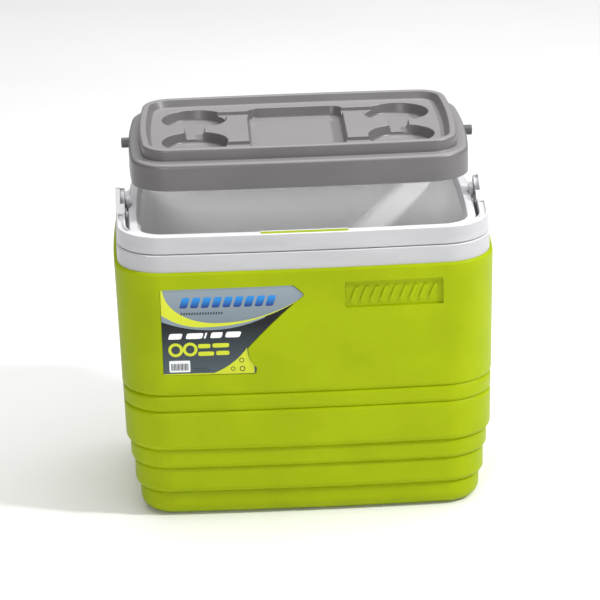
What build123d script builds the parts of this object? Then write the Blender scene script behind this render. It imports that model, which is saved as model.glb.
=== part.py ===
"""Moulded picnic cooler, 25 litre size: insulated chest, lift-off lid and a bail handle that locks it.

Frame: +Z up, origin on the ground under the middle of the chest, front towards -Y. Millimetres.
The handle is drawn folded forward and the lid is drawn lifted clear of the rim.
"""

import os
from math import radians, tan

from build123d import *

# ------------------------------------------------------------------ driving dimensions
WIDTH = 440.0  # outer shell, left to right
DEPTH = 292.0  # outer shell, front to back
CORNER = 59.0  # plan radius of the shell's corners
LONG_BOW = 6.0  # how far the front and the back bulge in plan
SHORT_BOW = 5.0  # how far the two ends bulge in plan
WALL = 2.5  # moulded wall thickness

# Heights on the chest
SHELL_TOP = 307.0  # where the shell meets the collar
LEDGE = 327.0  # ledge that the folded handle lies over
RIM = 345.0  # top of the rim
FLOOR = 28.0  # inside floor of the liner

# Insets in plan, measured inwards from the shell's outline
COLLAR_INSET = 3.8
HANDLE_INSET = 5.0
RIM_INSET = 19.0
OPENING_INSET = 32.7
RIM_BEVEL = 4.2  # width of the bevel between the rim's flat top and the opening
BEVEL_DROP = 5.5
LINER_DRAFT = 6.0  # how much the liner tapers in from top to bottom
LINER_ROUND = 14.0  # round between the liner's floor and its walls
FOAM_INSET = RIM_INSET + WALL
LINER_OUTSIDE = OPENING_INSET - WALL
LINER_TOP = RIM - BEVEL_DROP - 2.0

# Ribs of the shell, from the ground up:
# low z, high z, inset at the low edge, inset at the high edge, low round, high round
RIBS = [
    (0.0, 32.5, 19.0, 18.5, 17.0, 6.0),
    (30.5, 64.5, 13.5, 13.0, 9.0, 5.5),
    (62.5, 88.5, 9.5, 9.0, 8.0, 5.5),
    (86.5, 137.0, 4.8, 3.8, 9.0, 5.5),
    (135.0, 157.5, 3.8, 3.4, 7.0, 5.5),
    (155.5, SHELL_TOP, 3.0, 0.0, 7.0, 3.6),
]
REACH = 44.0  # how far in from the shell's outline a swept section goes

# Handle
BAIL_LOW = LEDGE + 1.0
BAIL_HEIGHT = 21.0
BAIL_THICK = 10.5
PIVOT_Z = RIM + 2.0
HUB_RADIUS = PIVOT_Z - BAIL_LOW
HUB_BLEND = 42.0  # how far in front of the pivot the hub has run out into the bail
PIN_RADIUS = 5.5
PIN_GAP = 0.05  # radial running clearance of the pivots
PIN_ENGAGED = 6.0
LUG_RADIUS = 9.5
LUG_PROUD = 2.0
GRIP_LENGTH = 100.0
GRIP_EXTRA = 2.5  # the grip is this much thicker, inwards
INSERT_WIDTH = 7.0
INSERT_DEPTH = 3.0
SLOT_INNER = 15.5  # ring-shaped slot that the lid's lock pins run in, about the pivot
SLOT_OUTER = 28.5
SLOT_DEEP = 5.0
SLOT_FROM = -20.0  # degrees behind the bail's own direction
SLOT_TO = 125.0

# Lid, lifted clear of the rim
LID_BACK = 37.0
LID_UP = 41.0
LID_WIDTH = 396.0
LID_DEPTH = 248.0
LID_CORNER = 46.0
LID_LONG_BOW = 4.0
LID_SHORT_BOW = 8.0
SKIRT = 31.0
PLATFORM = 14.5  # height of the platform over the skirt's shoulder
PLATFORM_STEP = 13.0
TRAY_RIM = 8.0
TRAY_SLOPE = 6.0
TRAY_DEEP = 9.0
CUP_X = 120.0
CUP_Y = 46.0
CUP_RADIUS = 38.5
CUP_DEEP = 14.0
PASSAGE_WIDE = 24.0  # gap that joins the two cups of a pair
PASSAGE_DEEP = 9.0
RECESS_X = 114.0
RECESS_Y = 164.0
RECESS_CORNER = 14.0
RECESS_DEEP = 13.0
CHANNEL_DEEP = 5.0
CHANNEL_WIDE = 20.0
CHANNEL_Y = 62.0
HOLLOW_DRAFT = 12.0  # degrees that the sides of the tray's hollows lean out
HOLLOW_LIP = 1.4  # round along their upper edges
PLUG_GAP = 1.5
PLUG_DEEP = 8.0
PLUG_SLOPE = 11.0
LOCK_RADIUS = 6.0
LOCK_DROP = 7.0  # lock pin's centre under the skirt's shoulder
LOCK_REACH = 206.5
LOCK_ROOT_RADIUS = 4.2
LOCK_SEAT = WALL + 0.6  # how deep the lock pin's head sits in the lid's end
LOCK_ROOT = 14.0  # how far the lock pin is moulded into the lid

# Front face: a sunk label and a sunk panel
FRONT_REACH = 70.0
LABEL_DEEP = 1.5
LABEL_THICK = 0.4
LABEL_GAP = 0.5
PANEL_DEEP = 3.0
PANEL_LOW_X, PANEL_HIGH_X = 44.0, 156.0
PANEL_LOW_Z, PANEL_HIGH_Z = 258.5, 290.0
BAR_COUNT = 9

# Filler plugs that close the foam injection holes
FILL_RADIUS = 12.0
FILL_FLANGE = 16.0
FILL_FLANGE_THICK = 1.5

HALF_X = WIDTH / 2
HALF_Y = DEPTH / 2
LID_BASE = RIM + LID_UP
LOCK_Z = LID_BASE + SKIRT - LOCK_DROP
LID_TOP = SKIRT + PLATFORM
TRAY_FLOOR = LID_TOP - TRAY_DEEP

os.makedirs("parts", exist_ok=True)


def write(part, name):
    """Label one finished piece and write it as its own STEP file."""
    part.label = name
    export_step(part, f"parts/{name}.step")


# ------------------------------------------------------------------ outlines and swept walls
def bowed(half_x, half_y, corner, long_bow, short_bow):
    """Rounded rectangle whose four sides bulge outwards as arcs."""
    corner_x = half_x - short_bow
    corner_y = half_y - long_bow
    with BuildSketch() as plan:
        with BuildLine():
            ThreePointArc((corner_x, -corner_y), (half_x, 0), (corner_x, corner_y))
            ThreePointArc((corner_x, corner_y), (0, half_y), (-corner_x, corner_y))
            ThreePointArc((-corner_x, corner_y), (-half_x, 0), (-corner_x, -corner_y))
            ThreePointArc((-corner_x, -corner_y), (0, -half_y), (corner_x, -corner_y))
        make_face()
        fillet(plan.vertices(), corner)
    return plan.sketch


def grown(sketch, amount):
    """The same outline, offset outwards, or inwards by a negative amount, in plain lines and arcs."""
    with BuildSketch() as wider:
        offset(sketch, amount=amount)
    with BuildSketch() as plan:
        for face in wider.faces():
            with BuildLine():
                for edge in face.outer_wire().edges():
                    if edge.geom_type == GeomType.LINE:
                        Line(edge @ 0, edge @ 1)
                    else:
                        ThreePointArc(edge @ 0, edge @ 0.5, edge @ 1)
            make_face()
    return plan.sketch


CHEST_PLAN = bowed(HALF_X, HALF_Y, CORNER, LONG_BOW, SHORT_BOW)
LID_PLAN = bowed(LID_WIDTH / 2, LID_DEPTH / 2, LID_CORNER, LID_LONG_BOW, LID_SHORT_BOW)
LID_SEAT = Plane(origin=(0, LID_BACK, LID_BASE))  # level of the lower edge of the lifted lid's skirt


def prism(plan, low, high, at=Plane.XY):
    """Upright solid of an outline between two heights."""
    with BuildPart() as solid:
        with BuildSketch(at.offset(low)):
            add(plan)
        extrude(amount=high - low)
    return solid.part


def moulding(plan, section, at=Plane.XY):
    """Wall of one section carried all the way round an outline.

    The section's x is measured inwards from the outline and its y is the height.
    """
    path = at.from_local_coords(plan.face().outer_wire())
    middle = path.bounding_box().center()
    tangent = path % 0
    inward = Vector(0, 0, 1).cross(tangent)
    if inward.dot(path @ 0 - middle) > 0:
        tangent, inward = -tangent, -inward
    with BuildPart() as solid:
        with BuildSketch(Plane(origin=path @ 0, x_dir=inward, z_dir=tangent)):
            add(section)
        sweep(path=path)
    return solid.part


def outline_of(points, rounds):
    """Closed polygon through points, with a round at each corner that has one."""
    with BuildSketch() as shape:
        with BuildLine():
            Polyline(*points, close=True)
        make_face()
        for point, radius in rounds:
            corner = shape.vertices().sort_by_distance((point[0], point[1], 0))[0]
            fillet(corner, radius)
    return shape.sketch


def box_section(low_x, high_x, low_z, high_z):
    """Rectangle of a section."""
    return outline_of([(low_x, low_z), (high_x, low_z), (high_x, high_z), (low_x, high_z)], [])


def end_disc(side, radius, near_x, far_x, y, z):
    """Round peg that lies along X at one end: side is -1 on the left and 1 on the right."""
    with BuildPart() as disc:
        with BuildSketch(Plane(origin=(side * near_x, y, z), x_dir=(0, 1, 0), z_dir=(side, 0, 0))):
            Circle(radius)
        extrude(amount=far_x - near_x)
    return disc.part


# ------------------------------------------------------------------ chest: outer shell
def ribbed_profile(grow=0.0):
    """Half section of the shell's outside, from the ground to above its top, as a filled shape."""
    with BuildSketch() as profile:
        for low, high, low_inset, high_inset, low_round, high_round in RIBS:
            corners = [(low_inset, low), (high_inset, high), (REACH + 10, high), (REACH + 10, low)]
            add(outline_of(corners, [(corners[0], low_round), (corners[1], high_round)]))
        add(box_section(COLLAR_INSET - 0.2, REACH + 10, SHELL_TOP - 1, SHELL_TOP + 12))
        if grow:
            offset(amount=grow, mode=Mode.REPLACE)
    return profile.sketch


def face_inset(height):
    """Inset of the plain face at a height: it leans in a little towards its foot."""
    low, high, low_inset, high_inset, _, _ = RIBS[-1]
    return low_inset + (high_inset - low_inset) * (height - low) / (high - low)


def front_skin(outline, near, deep):
    """Slice of an upright outline on the front face, between two depths under its surface."""
    low, high = RIBS[-1][0], SHELL_TOP
    corners = [
        (face_inset(low) + near, low),
        (face_inset(high) + near, high),
        (face_inset(high) + deep, high),
        (face_inset(low) + deep, low),
    ]
    with BuildPart() as skin:
        with BuildSketch(Plane.XZ.offset(HALF_Y - FRONT_REACH)):
            add(outline)
        extrude(amount=FRONT_REACH + WALL)
        add(moulding(CHEST_PLAN, outline_of(corners, [])), mode=Mode.INTERSECT)
    return skin.part


def label_plan():
    """Label's outline: straight top and bottom, a round tip at the right, a slanted lower side."""
    with BuildSketch() as plan:
        with BuildLine():
            Polyline((-2.0, 276.5), (-14.5, 288.5), (-166.7, 287.2), (-166.5, 182.6), (-60.5, 181.8))
            Line((-60.5, 181.8), (-58.5, 189.0))
            ThreePointArc((-58.5, 189.0), (-66.0, 200.0), (-68.0, 214.0))
            ThreePointArc((-68.0, 214.0), (-36.0, 246.5), (-2.0, 276.5))
        make_face()
        fillet(plan.vertices(), 2.5)
    return plan.sketch


def panel_plan():
    """Upright rectangle of the sunk panel at the right of the front face."""
    with BuildSketch() as plan:
        with Locations(((PANEL_LOW_X + PANEL_HIGH_X) / 2, (PANEL_LOW_Z + PANEL_HIGH_Z) / 2)):
            RectangleRounded(PANEL_HIGH_X - PANEL_LOW_X, PANEL_HIGH_Z - PANEL_LOW_Z, 2.0)
    return plan.sketch


def panel_bars():
    """Row of leaning bars that stands up in the sunk panel as a plain ornament."""
    pitch = (PANEL_HIGH_X - PANEL_LOW_X) / (BAR_COUNT + 1)
    with BuildSketch() as plan:
        for place in range(1, BAR_COUNT + 1):
            with Locations((PANEL_LOW_X + place * pitch, (PANEL_LOW_Z + PANEL_HIGH_Z) / 2)):
                SlotCenterToCenter(14.0, 4.5, rotation=68)
    return plan.sketch


with BuildSketch() as shell_wall:
    add(ribbed_profile())
    add(ribbed_profile(-WALL), mode=Mode.SUBTRACT)
    add(box_section(-1, REACH, -1, SHELL_TOP), mode=Mode.INTERSECT)

with BuildPart() as outer_shell:
    add(moulding(CHEST_PLAN, shell_wall.sketch))
    add(prism(grown(CHEST_PLAN, 1 - REACH), 0, WALL))
    add(front_skin(grown(label_plan(), WALL), WALL / 2, LABEL_DEEP + WALL))
    add(front_skin(grown(panel_plan(), WALL), WALL / 2, PANEL_DEEP + WALL))
    add(front_skin(label_plan(), -1, LABEL_DEEP), mode=Mode.SUBTRACT)
    add(front_skin(panel_plan(), -1, PANEL_DEEP), mode=Mode.SUBTRACT)
    add(front_skin(panel_bars(), PANEL_DEEP - 1.6, PANEL_DEEP + 0.5))
    with Locations((0, 0, WALL)):
        Hole(FILL_RADIUS, depth=WALL)
write(outer_shell.part, "outer_shell")

# ------------------------------------------------------------------ chest: label
with BuildPart() as front_label:
    add(front_skin(grown(label_plan(), -LABEL_GAP), LABEL_DEEP - LABEL_THICK, LABEL_DEEP))
write(front_label.part, "front_label")

# ------------------------------------------------------------------ chest: filler plug in the base
def filler_plug(seat, name):
    """Flanged disc that closes a foam injection hole; its visible face is at the seat."""
    with BuildPart() as plug:
        with BuildSketch(seat):
            Circle(FILL_RADIUS)
        extrude(amount=WALL)
        with BuildSketch(seat.offset(WALL)):
            Circle(FILL_FLANGE)
        extrude(amount=FILL_FLANGE_THICK)
    write(plug.part, name)
    return plug.part


base_plug = filler_plug(Plane.XY, "base_fill_plug")

# ------------------------------------------------------------------ chest: collar and rim
collar_section = outline_of(
    [
        (COLLAR_INSET, SHELL_TOP),
        (COLLAR_INSET, LEDGE),
        (RIM_INSET, LEDGE),
        (RIM_INSET, RIM),
        (OPENING_INSET - RIM_BEVEL, RIM),
        (OPENING_INSET, RIM - BEVEL_DROP),
        (OPENING_INSET, LINER_TOP),
        (FOAM_INSET + WALL, LINER_TOP),
        (FOAM_INSET + WALL, RIM - WALL),
        (FOAM_INSET, RIM - WALL),
        (FOAM_INSET, LEDGE - WALL),
        (COLLAR_INSET + WALL, LEDGE - WALL),
        (COLLAR_INSET + WALL, SHELL_TOP),
    ],
    [
        ((COLLAR_INSET, LEDGE), 1.2),
        ((RIM_INSET, LEDGE), 1.0),
        ((RIM_INSET, RIM), 2.0),
        ((OPENING_INSET - RIM_BEVEL, RIM), 2.0),
        ((OPENING_INSET, RIM - BEVEL_DROP), 2.0),
    ],
)
lug_near = HALF_X - FOAM_INSET
lug_far = HALF_X - RIM_INSET + LUG_PROUD

with BuildPart() as rim_collar:
    add(moulding(CHEST_PLAN, collar_section))
    for side in (-1, 1):
        add(end_disc(side, LUG_RADIUS, lug_near, lug_far, 0, PIVOT_Z))
        add(end_disc(side, PIN_RADIUS, lug_near - 1, lug_far + 1, 0, PIVOT_Z), mode=Mode.SUBTRACT)
write(rim_collar.part, "rim_collar")

# ------------------------------------------------------------------ chest: pivot pins
pin_far = HALF_X - HANDLE_INSET - BAIL_THICK + PIN_ENGAGED
for side, hand in ((-1, "left"), (1, "right")):
    write(end_disc(side, PIN_RADIUS, lug_near, pin_far, 0, PIVOT_Z), f"pivot_pin_{hand}")

# ------------------------------------------------------------------ chest: liner
liner_foot = OPENING_INSET + LINER_DRAFT
liner_reach = liner_foot + LINER_ROUND + 1
liner_section = outline_of(
    [
        (FOAM_INSET, LINER_TOP - WALL),
        (FOAM_INSET, LINER_TOP),
        (OPENING_INSET, LINER_TOP),
        (liner_foot, FLOOR),
        (liner_reach, FLOOR),
        (liner_reach, FLOOR - WALL),
        (liner_foot - WALL, FLOOR - WALL),
        (LINER_OUTSIDE, LINER_TOP - WALL),
    ],
    [((liner_foot, FLOOR), LINER_ROUND), ((liner_foot - WALL, FLOOR - WALL), LINER_ROUND + WALL)],
)
with BuildPart() as inner_liner:
    add(moulding(CHEST_PLAN, liner_section))
    add(prism(grown(CHEST_PLAN, 1 - liner_reach), FLOOR - WALL, FLOOR))
write(inner_liner.part, "inner_liner")

# ------------------------------------------------------------------ chest: foam between shell and liner
collar_hollow = outline_of(
    [
        (COLLAR_INSET + WALL, SHELL_TOP - 1),
        (COLLAR_INSET + WALL, LEDGE - WALL),
        (FOAM_INSET, LEDGE - WALL),
        (FOAM_INSET, LINER_TOP - WALL),
        (REACH, LINER_TOP - WALL),
        (REACH, SHELL_TOP - 1),
    ],
    [],
)
liner_side = outline_of(
    [
        (LINER_OUTSIDE, LINER_TOP - WALL),
        (liner_foot - WALL, FLOOR - WALL),
        (REACH + 20, FLOOR - WALL),
        (REACH + 20, LINER_TOP - WALL),
    ],
    [((liner_foot - WALL, FLOOR - WALL), LINER_ROUND + WALL)],
)
with BuildSketch() as foam_wall:
    add(ribbed_profile(-WALL))
    add(box_section(-1, REACH + 8, -1, SHELL_TOP), mode=Mode.INTERSECT)
    add(collar_hollow)
    add(liner_side, mode=Mode.SUBTRACT)

with BuildPart() as body_foam:
    add(moulding(CHEST_PLAN, foam_wall.sketch))
    add(prism(grown(CHEST_PLAN, -REACH), WALL, FLOOR - WALL))
    add(front_skin(grown(label_plan(), WALL), WALL / 2, LABEL_DEEP + WALL), mode=Mode.SUBTRACT)
    add(front_skin(grown(panel_plan(), WALL), WALL / 2, PANEL_DEEP + WALL), mode=Mode.SUBTRACT)
    add(base_plug, mode=Mode.SUBTRACT)
write(body_foam.part, "body_foam")

# ------------------------------------------------------------------ handle: bail
bail_top = BAIL_LOW + BAIL_HEIGHT
bail_inside = HANDLE_INSET + BAIL_THICK
bail_corners = [
    (HANDLE_INSET, BAIL_LOW),
    (bail_inside, BAIL_LOW),
    (bail_inside, bail_top),
    (HANDLE_INSET, bail_top),
]
bail_section = outline_of(bail_corners, [(corner, 1.8) for corner in bail_corners])


def bail_side():
    """Side view of one end of the bail: the round hub running out into the arm."""
    with BuildSketch() as side_view:
        with Locations((0, PIVOT_Z)):
            Circle(HUB_RADIUS)
        add(outline_of([(0, BAIL_LOW), (0, bail_top), (-HUB_BLEND, bail_top), (-HUB_BLEND, BAIL_LOW)], []))
        make_hull()
    return side_view.sketch


def lock_slot():
    """Ring-shaped slot about the pivot, drawn with x along the arm and y upwards."""
    sweep_angle = SLOT_TO - SLOT_FROM
    with BuildSketch() as slot:
        with BuildLine():
            outer = CenterArc((0, 0), SLOT_OUTER, SLOT_FROM, sweep_angle)
            inner = CenterArc((0, 0), SLOT_INNER, SLOT_FROM, sweep_angle)
            Line(outer @ 0, inner @ 0)
            Line(outer @ 1, inner @ 1)
        make_face()
    return slot.sketch


def cut_in_yz(sketch, low_x, high_x):
    """Solid of a side view (x is Y, y is Z) between two places along X."""
    with BuildPart() as solid:
        with BuildSketch(Plane(origin=(low_x, 0, 0), x_dir=(0, 1, 0), z_dir=(1, 0, 0))):
            add(sketch)
        extrude(amount=high_x - low_x)
    return solid.part


hub_inside = HALF_X - bail_inside
with BuildPart() as bail_ring:
    add(moulding(CHEST_PLAN, bail_section))
    with Locations((0, -DEPTH / 2, BAIL_LOW)):
        Box(WIDTH, DEPTH, 3 * BAIL_HEIGHT, mode=Mode.INTERSECT)

with BuildPart() as hub_ring:
    add(moulding(CHEST_PLAN, box_section(HANDLE_INSET, bail_inside, BAIL_LOW - 5, PIVOT_Z + HUB_RADIUS + 5)))
    add(cut_in_yz(bail_side(), -HALF_X, HALF_X), mode=Mode.INTERSECT)

with BuildPart() as grip_block:
    add(moulding(CHEST_PLAN, box_section(bail_inside - 1, bail_inside + GRIP_EXTRA, BAIL_LOW, bail_top)))
    with Locations((0, -HALF_Y, BAIL_LOW)):
        Box(GRIP_LENGTH, HALF_Y, 3 * BAIL_HEIGHT, mode=Mode.INTERSECT)
    fillet(grip_block.edges().filter_by(Axis.Z), 1.2)

insert_near = HANDLE_INSET + 2.5
with BuildPart() as grip_insert:
    insert_far = insert_near + INSERT_WIDTH
    insert_section = box_section(insert_near, insert_far, bail_top - INSERT_DEPTH, bail_top + 0.3)
    add(moulding(CHEST_PLAN, insert_section))
    with Locations((0, -HALF_Y, BAIL_LOW)):
        Box(GRIP_LENGTH, HALF_Y, 3 * BAIL_HEIGHT, mode=Mode.INTERSECT)
    fillet(grip_insert.edges().filter_by(Axis.Z), 3.0)
write(grip_insert.part, "grip_insert")

with BuildPart() as arm_pockets:
    add(moulding(CHEST_PLAN, box_section(insert_near, bail_inside - 2.5, bail_top - 2, bail_top + 1)))
    with Locations((0, -78, BAIL_LOW)):
        Box(WIDTH, 62, 3 * BAIL_HEIGHT, mode=Mode.INTERSECT)

with BuildPart() as handle_bail:
    add([bail_ring.part, hub_ring.part, grip_block.part])
    add([grip_insert.part, arm_pockets.part], mode=Mode.SUBTRACT)
    for side in (-1, 1):
        slot_plane = Plane(origin=(side * (hub_inside - 1), 0, PIVOT_Z), x_dir=(0, -1, 0), z_dir=(-1, 0, 0))
        with BuildSketch(slot_plane):
            add(lock_slot())
        extrude(amount=-side * (SLOT_DEEP + 1), mode=Mode.SUBTRACT)
        bore_end = hub_inside + PIN_ENGAGED + 0.5
        bore = end_disc(side, PIN_RADIUS + PIN_GAP, hub_inside - 1, bore_end, 0, PIVOT_Z)
        add(bore, mode=Mode.SUBTRACT)
write(handle_bail.part, "handle_bail")


# ------------------------------------------------------------------ lid: hollows in the tray
# x, y, width, length, corner radius, depth, round at the floor
HOLLOWS = [(0, 0, RECESS_X, RECESS_Y, RECESS_CORNER, RECESS_DEEP, 4.0)]
for cup_x in (-CUP_X, CUP_X):
    HOLLOWS.append((cup_x, 0, PASSAGE_WIDE, 2 * CUP_Y, 0.49 * PASSAGE_WIDE, PASSAGE_DEEP, 3.0))
    for cup_y in (-CUP_Y, CUP_Y):
        HOLLOWS.append((cup_x, cup_y, 2 * CUP_RADIUS, 2 * CUP_RADIUS, CUP_RADIUS, CUP_DEEP, 5.0))
for channel_y in (-CHANNEL_Y, CHANNEL_Y):
    HOLLOWS.append((0, channel_y, 2 * CUP_X, CHANNEL_WIDE, 0.49 * CHANNEL_WIDE, CHANNEL_DEEP, 2.0))


def hollow_plan(hollow, grow):
    """Outline of a hollow at the tray's floor: a circle, or a rectangle with round corners."""
    x, y, width, length, corner = hollow[:5]
    with BuildSketch() as plan:
        with Locations((x, y)):
            if width == length:
                Circle(corner + grow)
            else:
                RectangleRounded(width + 2 * grow, length + 2 * grow, corner + grow)
    return plan.sketch


def scooped(hollow, wall):
    """One hollow as a solid with leaning sides: its inside, or its outside for a wall thickness."""
    deep, floor_round = hollow[5:]
    bottom = TRAY_FLOOR - deep - wall
    top = TRAY_FLOOR if wall else TRAY_FLOOR + 1
    foot = (deep + wall) * tan(radians(HOLLOW_DRAFT))
    reach = foot + floor_round + 1
    corners = [(0, TRAY_FLOOR), (foot, bottom), (reach, bottom), (reach, top)]
    rounds = [((foot, bottom), floor_round)]
    if not wall:
        corners += [(-2 * HOLLOW_LIP, top), (-2 * HOLLOW_LIP, TRAY_FLOOR)]
        rounds.append(((0, TRAY_FLOOR), HOLLOW_LIP))
    with BuildPart() as solid:
        add(moulding(hollow_plan(hollow, wall), outline_of(corners, rounds), LID_SEAT))
        add(prism(hollow_plan(hollow, wall - reach + 0.5), bottom, top, LID_SEAT))
    return solid.part


hollow_insides = [scooped(hollow, 0) for hollow in HOLLOWS]
hollow_outsides = [scooped(hollow, WALL) for hollow in HOLLOWS]

# ------------------------------------------------------------------ lid: top shell
LID_REACH = 42.0
tray_edge = PLATFORM_STEP + TRAY_RIM
lid_profile = outline_of(
    [
        (0, -20),
        (0, SKIRT),
        (PLATFORM_STEP, SKIRT),
        (PLATFORM_STEP, LID_TOP),
        (tray_edge, LID_TOP),
        (tray_edge + TRAY_SLOPE, TRAY_FLOOR),
        (LID_REACH + 10, TRAY_FLOOR),
        (LID_REACH + 10, -20),
    ],
    [
        ((0, SKIRT), 5.0),
        ((PLATFORM_STEP, SKIRT), 1.5),
        ((PLATFORM_STEP, LID_TOP), 3.0),
        ((tray_edge, LID_TOP), 2.0),
        ((tray_edge + TRAY_SLOPE, TRAY_FLOOR), 3.0),
    ],
)
lid_hollow = grown(lid_profile, -WALL)
with BuildSketch() as lid_wall:
    add(lid_profile)
    add(lid_hollow, mode=Mode.SUBTRACT)
    add(box_section(-1, LID_REACH, 0, LID_TOP + 1), mode=Mode.INTERSECT)

lid_end = LID_WIDTH / 2
with BuildPart() as lid_top_shell:
    add(moulding(LID_PLAN, lid_wall.sketch, LID_SEAT))
    add(prism(grown(LID_PLAN, 1 - LID_REACH), TRAY_FLOOR - WALL, TRAY_FLOOR, LID_SEAT))
    add(hollow_outsides)
    add(hollow_insides, mode=Mode.SUBTRACT)
    for side in (-1, 1):
        head = end_disc(side, LOCK_RADIUS, lid_end - LOCK_SEAT, lid_end + 1, LID_BACK, LOCK_Z)
        root = end_disc(side, LOCK_ROOT_RADIUS, lid_end - 2 * LOCK_SEAT, lid_end, LID_BACK, LOCK_Z)
        add([head, root], mode=Mode.SUBTRACT)
write(lid_top_shell.part, "lid_top_shell")

# ------------------------------------------------------------------ lid: liner with its plug
plug_top = OPENING_INSET + PLUG_GAP
plug_foot = plug_top + PLUG_SLOPE
plug_reach = plug_foot + 8
plug_section = outline_of(
    [
        (plug_top, 0),
        (plug_top, WALL),
        (plug_top + WALL, WALL),
        (plug_foot + 1, WALL - PLUG_DEEP),
        (plug_reach, WALL - PLUG_DEEP),
        (plug_reach, -PLUG_DEEP),
        (plug_foot, -PLUG_DEEP),
    ],
    [],
)
lid_fill_plug = filler_plug(LID_SEAT.offset(-PLUG_DEEP), "lid_fill_plug")
with BuildPart() as lid_liner:
    add(prism(grown(LID_PLAN, -WALL), 0, WALL, LID_SEAT))
    add(prism(grown(CHEST_PLAN, -plug_top - 1), -1, WALL + 1, LID_SEAT), mode=Mode.SUBTRACT)
    add(moulding(CHEST_PLAN, plug_section, LID_SEAT))
    add(prism(grown(CHEST_PLAN, 1 - plug_reach), -PLUG_DEEP, WALL - PLUG_DEEP, LID_SEAT))
    add(lid_fill_plug, mode=Mode.SUBTRACT)
write(lid_liner.part, "lid_liner")

# ------------------------------------------------------------------ lid: lock pins
lock_pins = []
for side, hand in ((-1, "left"), (1, "right")):
    with BuildPart() as lock_pin:
        add(end_disc(side, LOCK_RADIUS, lid_end - LOCK_SEAT, LOCK_REACH, LID_BACK, LOCK_Z))
        fillet(lock_pin.edges().filter_by(GeomType.CIRCLE).group_by(Axis.X)[-1 if side > 0 else 0], 1.2)
        add(end_disc(side, LOCK_ROOT_RADIUS, lid_end - LOCK_ROOT, lid_end, LID_BACK, LOCK_Z))
    write(lock_pin.part, f"lock_pin_{hand}")
    lock_pins.append(lock_pin.part)

# ------------------------------------------------------------------ lid: foam
plug_hollow = outline_of(
    [
        (plug_top + WALL, WALL),
        (plug_foot + 1, WALL - PLUG_DEEP),
        (plug_reach, WALL - PLUG_DEEP),
        (plug_reach, WALL),
    ],
    [],
)
with BuildSketch() as lid_foam_wall:
    add(lid_hollow)
    add(box_section(-1, LID_REACH, WALL, LID_TOP), mode=Mode.INTERSECT)

with BuildPart() as lid_foam:
    add(moulding(LID_PLAN, lid_foam_wall.sketch, LID_SEAT))
    add(prism(grown(LID_PLAN, 1 - LID_REACH), WALL, TRAY_FLOOR - WALL, LID_SEAT))
    add(moulding(CHEST_PLAN, plug_hollow, LID_SEAT))
    add(prism(grown(CHEST_PLAN, 1 - plug_reach), WALL - PLUG_DEEP, WALL, LID_SEAT))
    add(hollow_outsides, mode=Mode.SUBTRACT)
    add([*lock_pins, lid_fill_plug], mode=Mode.SUBTRACT)
write(lid_foam.part, "lid_foam")

for piece in (outer_shell, front_label, rim_collar, inner_liner, body_foam, handle_bail, grip_insert,
              lid_top_shell, lid_liner, lid_foam):
    print(piece.part.label, round(piece.part.volume), piece.part.is_valid, len(piece.part.solids()))
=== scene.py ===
# %% [markdown]
# # A moulded picnic cooler
# The chest, handle and lid come from the CAD model as a fixed frame. Every part of this product is
# moulded plastic, so the CAD shapes stay, and this script gives them their finish: pebbled lime
# polyethylene, satin white and grey mouldings, and a printed label. Lengths are in metres.

from math import cos, radians, sin

import bpy
import numpy as np
from mathutils import Matrix, Vector


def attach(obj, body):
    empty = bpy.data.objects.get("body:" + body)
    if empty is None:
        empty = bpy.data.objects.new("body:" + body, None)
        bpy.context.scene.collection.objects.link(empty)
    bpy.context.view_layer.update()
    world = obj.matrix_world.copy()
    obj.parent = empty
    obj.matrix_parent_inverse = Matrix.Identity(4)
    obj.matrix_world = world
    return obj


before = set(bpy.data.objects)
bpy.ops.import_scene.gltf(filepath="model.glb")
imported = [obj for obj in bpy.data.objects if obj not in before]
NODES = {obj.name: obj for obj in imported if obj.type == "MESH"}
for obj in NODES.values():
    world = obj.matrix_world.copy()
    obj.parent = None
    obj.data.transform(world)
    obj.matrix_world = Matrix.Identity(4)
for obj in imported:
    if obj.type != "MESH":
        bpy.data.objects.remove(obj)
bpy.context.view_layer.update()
MM = 0.001

# %% [markdown]
# ## Camera
# A long lens a few metres away keeps the chest's sides nearly parallel. The camera is turned a
# little to the left, looks down by about twenty degrees and is rolled by under two degrees.

# %% Camera
CAMERA_TURN = radians(-1.86)
CAMERA_DOWN = radians(19.66)
CAMERA_ROLL = radians(-1.64)
CAMERA_DISTANCE = 3.624
CAMERA_TARGET = Vector((-0.003, 0.0, 0.2185))
LENS = 183.3


def make_camera():
    """Aim the camera by three unit vectors: right, up, and back towards the camera."""
    back = Vector((
        sin(CAMERA_TURN) * cos(CAMERA_DOWN),
        -cos(CAMERA_TURN) * cos(CAMERA_DOWN),
        sin(CAMERA_DOWN),
    ))
    level = Vector((cos(CAMERA_TURN), sin(CAMERA_TURN), 0.0))
    above = back.cross(level)
    right = level * cos(CAMERA_ROLL) + above * sin(CAMERA_ROLL)
    up = above * cos(CAMERA_ROLL) - level * sin(CAMERA_ROLL)
    data = bpy.data.cameras.new("camera")
    data.lens = LENS
    data.sensor_width = 36.0
    camera = bpy.data.objects.new("camera", data)
    bpy.context.scene.collection.objects.link(camera)
    turn = Matrix((right, up, back)).transposed().to_4x4()
    camera.matrix_world = Matrix.Translation(CAMERA_TARGET + back * CAMERA_DISTANCE) @ turn
    bpy.context.scene.camera = camera
    return camera


camera = make_camera()

# %% [markdown]
# ## Materials
# Two helpers carry every finish. One turns an sRGB hex colour to linear values, and one adds a
# node with its settings and its links in a single call.

# %% Material helpers
def colour(text):
    """Linear RGBA of an sRGB hex colour."""
    parts = [int(text[place:place + 2], 16) / 255 for place in (1, 3, 5)]
    linear = [c / 12.92 if c <= 0.04045 else ((c + 0.055) / 1.055) ** 2.4 for c in parts]
    return (*linear, 1.0)


PLASTIC_IOR = 1.5


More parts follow.
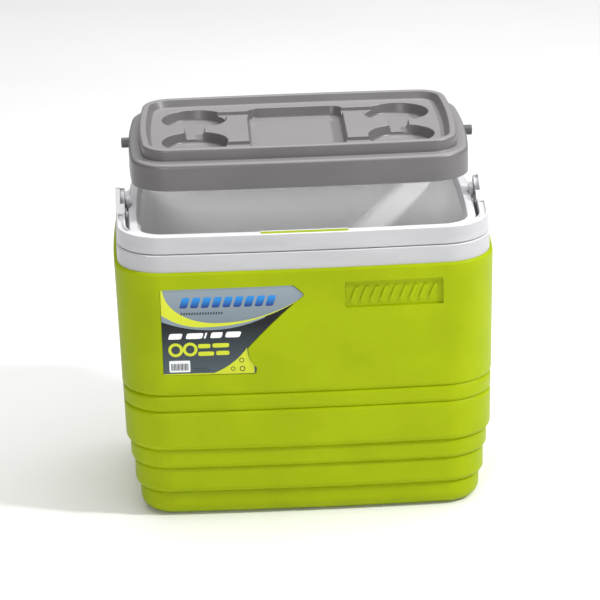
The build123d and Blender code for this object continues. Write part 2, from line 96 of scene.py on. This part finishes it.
def add_node(tree, kind, settings=None, **inputs):
    """Add a shader node; an input given as a socket is linked, and any other value is set."""
    node = tree.nodes.new(kind)
    for name, value in (settings or {}).items():
        setattr(node, name, value)
    for name, value in inputs.items():
        key = int(name[1:]) if name[0] == "_" else name.replace("_", " ")
        if isinstance(value, bpy.types.NodeSocket):
            tree.links.new(value, node.inputs[key])
        else:
            node.inputs[key].default_value = value
    return node


def new_plastic(name, specular):
    """Empty plastic material: its node tree, its shader and the object's own coordinates."""
    material = bpy.data.materials.new(name)
    material.use_nodes = True
    tree = material.node_tree
    shader = tree.nodes["Principled BSDF"]
    shader.inputs["IOR"].default_value = PLASTIC_IOR
    shader.inputs["Specular IOR Level"].default_value = specular
    place = add_node(tree, "ShaderNodeTexCoord").outputs
    return material, tree, shader, place["Object"], place["Normal"]


def moulded(name, dark, light, roughness, patch_mm, grain_mm, grain_height_mm, streaks=(1, 1, 1),
            specular=0.5, painted_top_light=None):
    """Moulded plastic: cloudy colour patches, a tool grain, and perhaps a paler top that is painted light.
    """
    material, tree, shader, place, facing = new_plastic(name, specular)
    stretched = add_node(tree, "ShaderNodeMapping", Vector=place, Scale=streaks).outputs[0]
    patches = add_node(
        tree, "ShaderNodeTexNoise", Vector=stretched, Scale=1 / (patch_mm * MM), Detail=3.0, Roughness=0.5
    ).outputs["Fac"]
    ramp = add_node(tree, "ShaderNodeValToRGB", Fac=patches)
    ramp.color_ramp.elements[0].position = 0.3
    ramp.color_ramp.elements[0].color = colour(dark)
    ramp.color_ramp.elements[1].position = 0.7
    ramp.color_ramp.elements[1].color = colour(light)
    tint = ramp.outputs["Color"]
    # Painted light: faces that look up take a paler colour that stands in for light falling from above.
    if painted_top_light:
        upwards = add_node(tree, "ShaderNodeSeparateXYZ", Vector=facing).outputs["Z"]
        share = add_node(tree, "ShaderNodeMapRange", Value=upwards, From_Min=0.5, From_Max=0.95).outputs[0]
        tint = add_node(
            tree, "ShaderNodeMix", {"data_type": "RGBA"}, _0=share, _6=tint, _7=colour(painted_top_light)
        ).outputs[2]
    tree.links.new(tint, shader.inputs["Base Color"])
    grain = add_node(
        tree, "ShaderNodeTexNoise", Vector=place, Scale=1 / (grain_mm * MM), Detail=2.0, Roughness=0.6
    ).outputs["Fac"]
    bump = add_node(tree, "ShaderNodeBump", Height=grain, Distance=grain_height_mm * MM, Strength=1.0)
    tree.links.new(bump.outputs["Normal"], shader.inputs["Normal"])
    gloss = add_node(
        tree, "ShaderNodeMapRange", Value=patches, To_Min=roughness - 0.05, To_Max=roughness + 0.06
    ).outputs["Result"]
    tree.links.new(gloss, shader.inputs["Roughness"])
    return material


def finish(node, material):
    """Give a CAD node its material."""
    mesh = NODES[node].data
    mesh.materials.clear()
    mesh.materials.append(material)


# %% [markdown]
# The shell is blow-moulded polyethylene. The tool is etched, so the skin has a fine pebble grain
# that scatters the highlight. The real grain's size is a guess, under a millimetre. It is drawn at
# about two millimetres, and even so it hardly shows from the main camera.

# %% Chest plastics
LIME = moulded("lime_polyethylene", "#95a600", "#9eb001", 0.42, 60, 2.2, 0.22, specular=0.12)
# The white's paler colour on faces that look up is painted light on the rim and handle tops.
WHITE = moulded("white_polypropylene", "#b2b2b6", "#bdbdc0", 0.30, 40, 6.0, 0.03,
                streaks=(0.3, 0.3, 2), painted_top_light="#e2e2e4")
LINER = moulded("liner_polypropylene", "#fbfbfb", "#fdfdfd", 0.32, 80, 8.0, 0.03)
FOAM = moulded("cream_urethane_foam", "#d9cfa8", "#e6ddba", 0.9, 12, 1.5, 0.3)

# %% [markdown]
# The lid is the same polyethylene in a warm grey, but from a smoother tool. The pegs at its ends are
# moulded apart, in a darker grey. On the lid, rim and handle, faces that look up are given a paler
# colour than the sides. On the real object that is light and not pigment, so under other lights
# one colour all over may be the better choice.

# %% Lid plastics
GREY = moulded("grey_polyethylene", "#625f60", "#6b6869", 0.36, 50, 5.0, 0.04,
               streaks=(0.4, 1, 1), painted_top_light="#8d8b8c")
DARK = moulded("dark_grey_peg", "#565455", "#605e5f", 0.35, 6, 1.0, 0.05)

FINISHES = {
    "outer_shell": LIME,
    "base_fill_plug": LIME,
    "grip_insert": LIME,
    "rim_collar": WHITE,
    "pivot_pin_left": WHITE,
    "pivot_pin_right": WHITE,
    "handle_bail": WHITE,
    "inner_liner": LINER,
    "lid_liner": LINER,
    "lid_fill_plug": LINER,
    "body_foam": FOAM,
    "lid_foam": FOAM,
    "lid_top_shell": GREY,
    "lock_pin_left": DARK,
    "lock_pin_right": DARK,
}
for node, material in FINISHES.items():
    finish(node, material)

# %% [markdown]
# ## The printed label
# The label is a thin film that lies in a sunk seat, printed in flat colours: a blue-grey field over
# a lime sweep, and a dark foot that fades to slate. It could be painted by masks in one material.
# Each colour is instead its own very thin patch, a grid between two curves that is laid on the film,
# because an edge made of faces stays sharp at any distance.

# %% Where the film lies
FILM_LIFT = 0.04  # mm that the first layer of ink stands off the film
film_points = np.array([vertex.co for vertex in NODES["front_label"].data.vertices]) / MM
film_x, film_y, film_z = film_points.T
shape_terms = np.column_stack([np.ones_like(film_x), film_x ** 2, film_z])
film_fit = np.linalg.lstsq(shape_terms, film_y, rcond=None)[0]
film_front = film_fit - [np.ptp(film_y - shape_terms @ film_fit) / 2, 0, 0]
print("label film: y =", [float(f"{term:.3g}") for term in film_front], "times 1, x squared and z")


def film_surface(x, z, lift):
    """Point on the film's front: y is a constant plus a share of x squared and a share of z."""
    y = film_front[0] + film_front[1] * x ** 2 + film_front[2] * z - lift
    return np.stack([x, y, z], axis=-1) * MM


def arc(start, middle, end):
    """Height over x of the circle through three points, on the side that holds the middle one."""
    (x1, z1), (x2, z2), (x3, z3) = start, middle, end
    sides = np.array([[x2 - x1, z2 - z1], [x3 - x1, z3 - z1]])
    squares = np.array([x2 ** 2 - x1 ** 2 + z2 ** 2 - z1 ** 2, x3 ** 2 - x1 ** 2 + z3 ** 2 - z1 ** 2])
    cx, cz = np.linalg.solve(2 * sides, squares)
    radius = np.hypot(x1 - cx, z1 - cz)
    bend = 1 if z2 > cz else -1
    return lambda x: cz + bend * np.sqrt(np.maximum(radius ** 2 - (x - cx) ** 2, 0))


def mesh_piece(name, points, faces, material):
    """New mesh object on the film, from arrays of points and faces; it rides on the chest."""
    mesh = bpy.data.meshes.new(name)
    mesh.from_pydata(points.reshape(-1, 3).tolist(), [], faces.tolist())
    mesh.materials.append(material)
    piece = bpy.data.objects.new(name, mesh)
    bpy.context.scene.collection.objects.link(piece)
    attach(piece, "chest")
    return piece


def grid_faces(rows, columns):
    """Quads of a grid of points, wound to face the front."""
    index = np.arange(rows * columns).reshape(rows, columns)
    quads = [index[:-1, :-1], index[1:, :-1], index[1:, 1:], index[:-1, 1:]]
    return np.stack(quads, axis=-1).reshape(-1, 4)


COLUMNS, ROWS = 48, 4
CROWDING = 1.6  # power that draws the grid's columns together at the left, where curves are steepest
INK_THICK = 0.03  # mm


def patch_points(low, high, start, end):
    """Grid between two curves over x: u runs along x, closer together at the left, v across."""
    u = np.linspace(0, 1, COLUMNS)[:, None]
    v = np.linspace(0, 1, ROWS)[None, :]
    x = start + (end - start) * u ** CROWDING
    z = low(x) + (high(x) - low(x)) * v
    return film_surface(x + 0 * v, z, FILM_LIFT)


def thicken(piece):
    """Give a patch its own thickness, towards the film."""
    wall = piece.modifiers.new("ink", "SOLIDIFY")
    wall.thickness = INK_THICK * MM
    wall.offset = -1.0


FLECK = 6.0  # mm, size of the cloudy patches in the film's gloss


def printed(name, low, low_z, high, high_z):
    """Printed film: one colour that fades into another between two heights, under clear gloss."""
    material, tree, shader, place, _ = new_plastic(name, 0.3)
    height = add_node(tree, "ShaderNodeSeparateXYZ", Vector=place).outputs["Z"]
    fade = add_node(
        tree, "ShaderNodeMapRange", Value=height, From_Min=low_z * MM, From_Max=high_z * MM
    ).outputs["Result"]
    mix = add_node(tree, "ShaderNodeMix", {"data_type": "RGBA"}, _0=fade, _6=colour(low), _7=colour(high))
    tree.links.new(mix.outputs[2], shader.inputs["Base Color"])
    fleck = add_node(
        tree, "ShaderNodeTexNoise", Vector=place, Scale=1 / (FLECK * MM), Detail=2.0
    ).outputs["Fac"]
    gloss = add_node(tree, "ShaderNodeMapRange", Value=fleck, To_Min=0.28, To_Max=0.40).outputs["Result"]
    tree.links.new(gloss, shader.inputs["Roughness"])
    return material


# %% Inks
LABEL_LOW, LABEL_HIGH = film_z.min(), film_z.max()
NIGHT = printed("night_blue_ink", "#4a575d", LABEL_LOW, "#03070c", LABEL_LOW + 62)
SLATE = printed("slate_ink", "#76828b", 245, "#8c99a2", 287)
SWEEP = printed("lime_yellow_ink", "#c3cc28", 182, "#d3da35", 280)
BAND = printed("blue_grey_ink", "#7c8a92", 236, "#8796a0", 260)
BLUE = printed("royal_blue_ink", "#1a1f6e", 264, "#1f86d2", 275)
INK_WHITE = printed("white_ink", "#e6e8ea", 182, "#f4f5f6", 240)
INK_DARK = printed("black_ink", "#1b2328", 182, "#252e36", 262)
finish("front_label", NIGHT)

# %% [markdown]
# The large fields share their edges. Each edge is an arc of a circle through three points, or two
# arcs end to end, so the sweep has a curve that a pen could draw.

# %% Large fields of the label
TIP_X = -3.6
LEFT_X = -166.0
FOOT_Z = 182.8
FOOT_LINE = 1.6  # height of the line along the foot


def label_top(x):
    """Upper edge of the print: level, then down the short slope to the tip."""
    return np.minimum(287.4 + 0.0085 * (x - LEFT_X), 288.1 - 0.96 * (x + 15.5))


def sweep_top(x):
    """Upper edge of the lime sweep: a quarter of an ellipse, then a long rising arc."""
    drop = 41.8 * np.sqrt(np.maximum(1 - ((x + 103) / 60.6) ** 2, 0))
    return np.where(x < -103, np.minimum(287.2 - drop, label_top(x)), rising_top(x))


rising_top = arc((-103, 245.4), (-50.3, 252.5), (TIP_X, 274.0))
falling_low = arc((LEFT_X, 256.5), (-144, 244.8), (-114.5, 240.9))
rising_low = arc((-114.5, 240.9), (-62, 247.6), (TIP_X, 273.4))
band_low = arc((LEFT_X, 248.4), (-114.5, 237.2), (-44, 252.6))
corner_top = arc((-113, FOOT_Z), (-88, 195.4), (-69.5, 214.4))
notch = arc((-69.5, 214.4), (-66.7, 200), (-60.4, 190.2))


def foot(x):
    """Lower edge of the print, which is level."""
    return FOOT_Z + 0 * x


FIELDS = [
    ("label_upper_field", sweep_top, label_top, -163.4, TIP_X, SLATE),
    ("label_sweep_left", falling_low, sweep_top, LEFT_X, -114.5, SWEEP),
    ("label_sweep_right", rising_low, sweep_top, -114.5, TIP_X, SWEEP),
    ("label_band_left", band_low, falling_low, LEFT_X, -114.5, BAND),
    ("label_band_right", band_low, rising_low, -114.5, -48, BAND),
    ("label_corner", foot, corner_top, -113, -69.5, SWEEP),
    ("label_corner_tip", foot, notch, -69.5, -62, SWEEP),
    ("label_foot_line", foot, lambda x: foot(x) + FOOT_LINE, -165.4, -110, SWEEP),
]
for name, low, high, start, end, ink in FIELDS:
    grid = patch_points(low, high, start, end)
    thicken(mesh_piece(name, grid, grid_faces(COLUMNS, ROWS), ink))

# %% [markdown]
# The small print is replaced by plain ornament: leaning bars, dots, rings and a striped block.
# Every mark is a bar or a ring from one formula, and marks of one ink share a mesh. The stripes lie
# on the white block, so they are lifted twice.

# %% Small print
MARK_LIFT = 2 * FILM_LIFT
BAR_POINTS, RING_POINTS = 24, 36
LEAN = 0.32  # how far a bar leans to the right for each unit of its height


def bars(centres, widths, height, lean=LEAN, roundness=0.35):
    """Leaning bars with round ends: a superellipse in its own frame, sheared to the right."""
    turn = np.linspace(0, 2 * np.pi, BAR_POINTS, endpoint=False)
    across = np.sign(np.cos(turn)) * np.abs(np.cos(turn)) ** roundness
    along = np.sign(np.sin(turn)) * np.abs(np.sin(turn)) ** roundness
    centres = np.asarray(centres, float)
    z = centres[:, 1:] + along * height / 2
    x = centres[:, :1] + across * np.asarray(widths, float)[:, None] / 2 + lean * along * height / 2
    return x, z


def bar_mesh(name, groups, ink, lift=MARK_LIFT):
    """One mesh of several groups of bars; each bar is a single many-sided face on the film."""
    x = np.concatenate([group[0] for group in groups])
    z = np.concatenate([group[1] for group in groups])
    faces = np.arange(x.size).reshape(x.shape)
    thicken(mesh_piece(name, film_surface(x, z, lift), faces, ink))


def ring_mesh(name, centres, radii, widths, ink):
    """Flat rings: the circle of the outer radius joined to a smaller one, all the way round."""
    turn = np.linspace(0, 2 * np.pi, RING_POINTS, endpoint=False)
    edges = np.stack([np.asarray(radii), np.asarray(radii) - np.asarray(widths)], axis=1)
    centres = np.asarray(centres, float)
    x = centres[:, 0, None, None] + edges[:, :, None] * np.cos(turn)
    z = centres[:, 1, None, None] + edges[:, :, None] * np.sin(turn)
    index = np.arange(x.size).reshape(x.shape)
    outer, inner = index[:, 0], index[:, 1]
    faces = np.stack([outer, np.roll(outer, -1, 1), np.roll(inner, -1, 1), inner], axis=-1)
    thicken(mesh_piece(name, film_surface(x, z, MARK_LIFT), faces.reshape(-1, 4), ink))


def row(first, last, z, count):
    """Centres of marks evenly spaced along a level row."""
    return np.stack([np.linspace(first, last, count), np.full(count, float(z))], axis=1)


bar_mesh("label_blue_bars", [bars(row(-139, -41, 270.8, 9), [9.0] * 9, 12.8)], BLUE)
bar_mesh("label_fine_dashes", [
    bars(row(-143, -97, 257.6, 16), [1.7] * 16, 3.0),
    bars(row(-132, -117, 190.6, 9), [1.0] * 9, 1.2),
    bars(row(-132, -113, 187.8, 11), [1.0] * 11, 1.2),
], INK_DARK)
bar_mesh("label_white_bars", [
    bars([(-151, 230.2), (-129, 230.4), (-116.5, 230.6), (-104, 230.8), (-85, 231)],
         [15, 19, 2.2, 13, 17], 7.0),
], INK_WHITE)
bar_mesh("label_lime_bars", [
    bars([(-118.5, 217.8), (-99.5, 218.2)], [14, 19], 5.2, 0),
    bars([(-116.5, 208.4), (-97.5, 208.8)], [18, 15], 5.2, 0),
], SWEEP)
ring_mesh("label_lime_rings", [(-151.2, 213.6), (-134.6, 214.1)], [8.4, 8.4], [3.4, 3.4], SWEEP)
bar_mesh("label_white_block", [bars([(-147.2, 193.4)], [24], 14.2, 0, 0.12)], INK_WHITE)
ring_mesh("label_corner_rings", [(-76.2, 199.2), (-86.4, 189.0), (-75.6, 188.8)], [2.9, 2.6, 3.2],
          [0.9, 0.8, 1.0], INK_DARK)
stripe_widths = 0.7 + 0.5 * np.cos(1.9 * np.arange(13)) ** 2
stripes = bars(row(-156.4, -138, 192.6, 13), stripe_widths, 8.6, 0)
bar_mesh("label_block_stripes", [stripes], INK_DARK, MARK_LIFT + FILM_LIFT)

# %% [markdown]
# ## Studio
# A pale floor, an even white surround and a wide overhead light wash out the shadows. A small key
# light from the right throws the lid's edge across the liner, and a low light near the camera, a
# little to the left, fills the front.

# %% Studio
def make_floor():
    """Large pale floor just under the chest."""
    half = 6.0
    mesh = bpy.data.meshes.new("floor")
    corners = [(-half, -half, 0), (half, -half, 0), (half, half, 0), (-half, half, 0)]
    mesh.from_pydata(corners, [], [(0, 1, 2, 3)])
    floor = bpy.data.objects.new("floor", mesh)
    bpy.context.scene.collection.objects.link(floor)
    mesh.materials.append(moulded("pale_floor", "#f0f0f0", "#f3f3f3", 0.9, 400, 50, 0.01))


def soft_light(name, place, power, size, aim=(0, 0, 0.25)):
    """Square area light that faces a point."""
    data = bpy.data.lights.new(name, "AREA")
    data.energy = power
    data.size = size
    light = bpy.data.objects.new(name, data)
    bpy.context.scene.collection.objects.link(light)
    light.location = place
    light.rotation_euler = (Vector(aim) - Vector(place)).to_track_quat("-Z", "Y").to_euler()


def make_surround(strength):
    """Even white light from all round."""
    world = bpy.data.worlds.new("surround")
    world.use_nodes = True
    background = world.node_tree.nodes["Background"]
    background.inputs["Color"].default_value = colour("#ffffff")
    background.inputs["Strength"].default_value = strength
    bpy.context.scene.world = world


make_floor()
make_surround(0.2)
soft_light("overhead", (0.3, 0.6, 3.4), 145, 4.5)
soft_light("key", (2.15, -0.94, 2.17), 68, 0.25)
soft_light("front", (-1.1, -3.3, 1.35), 38, 0.9)
bpy.context.scene.view_settings.view_transform = "Standard"
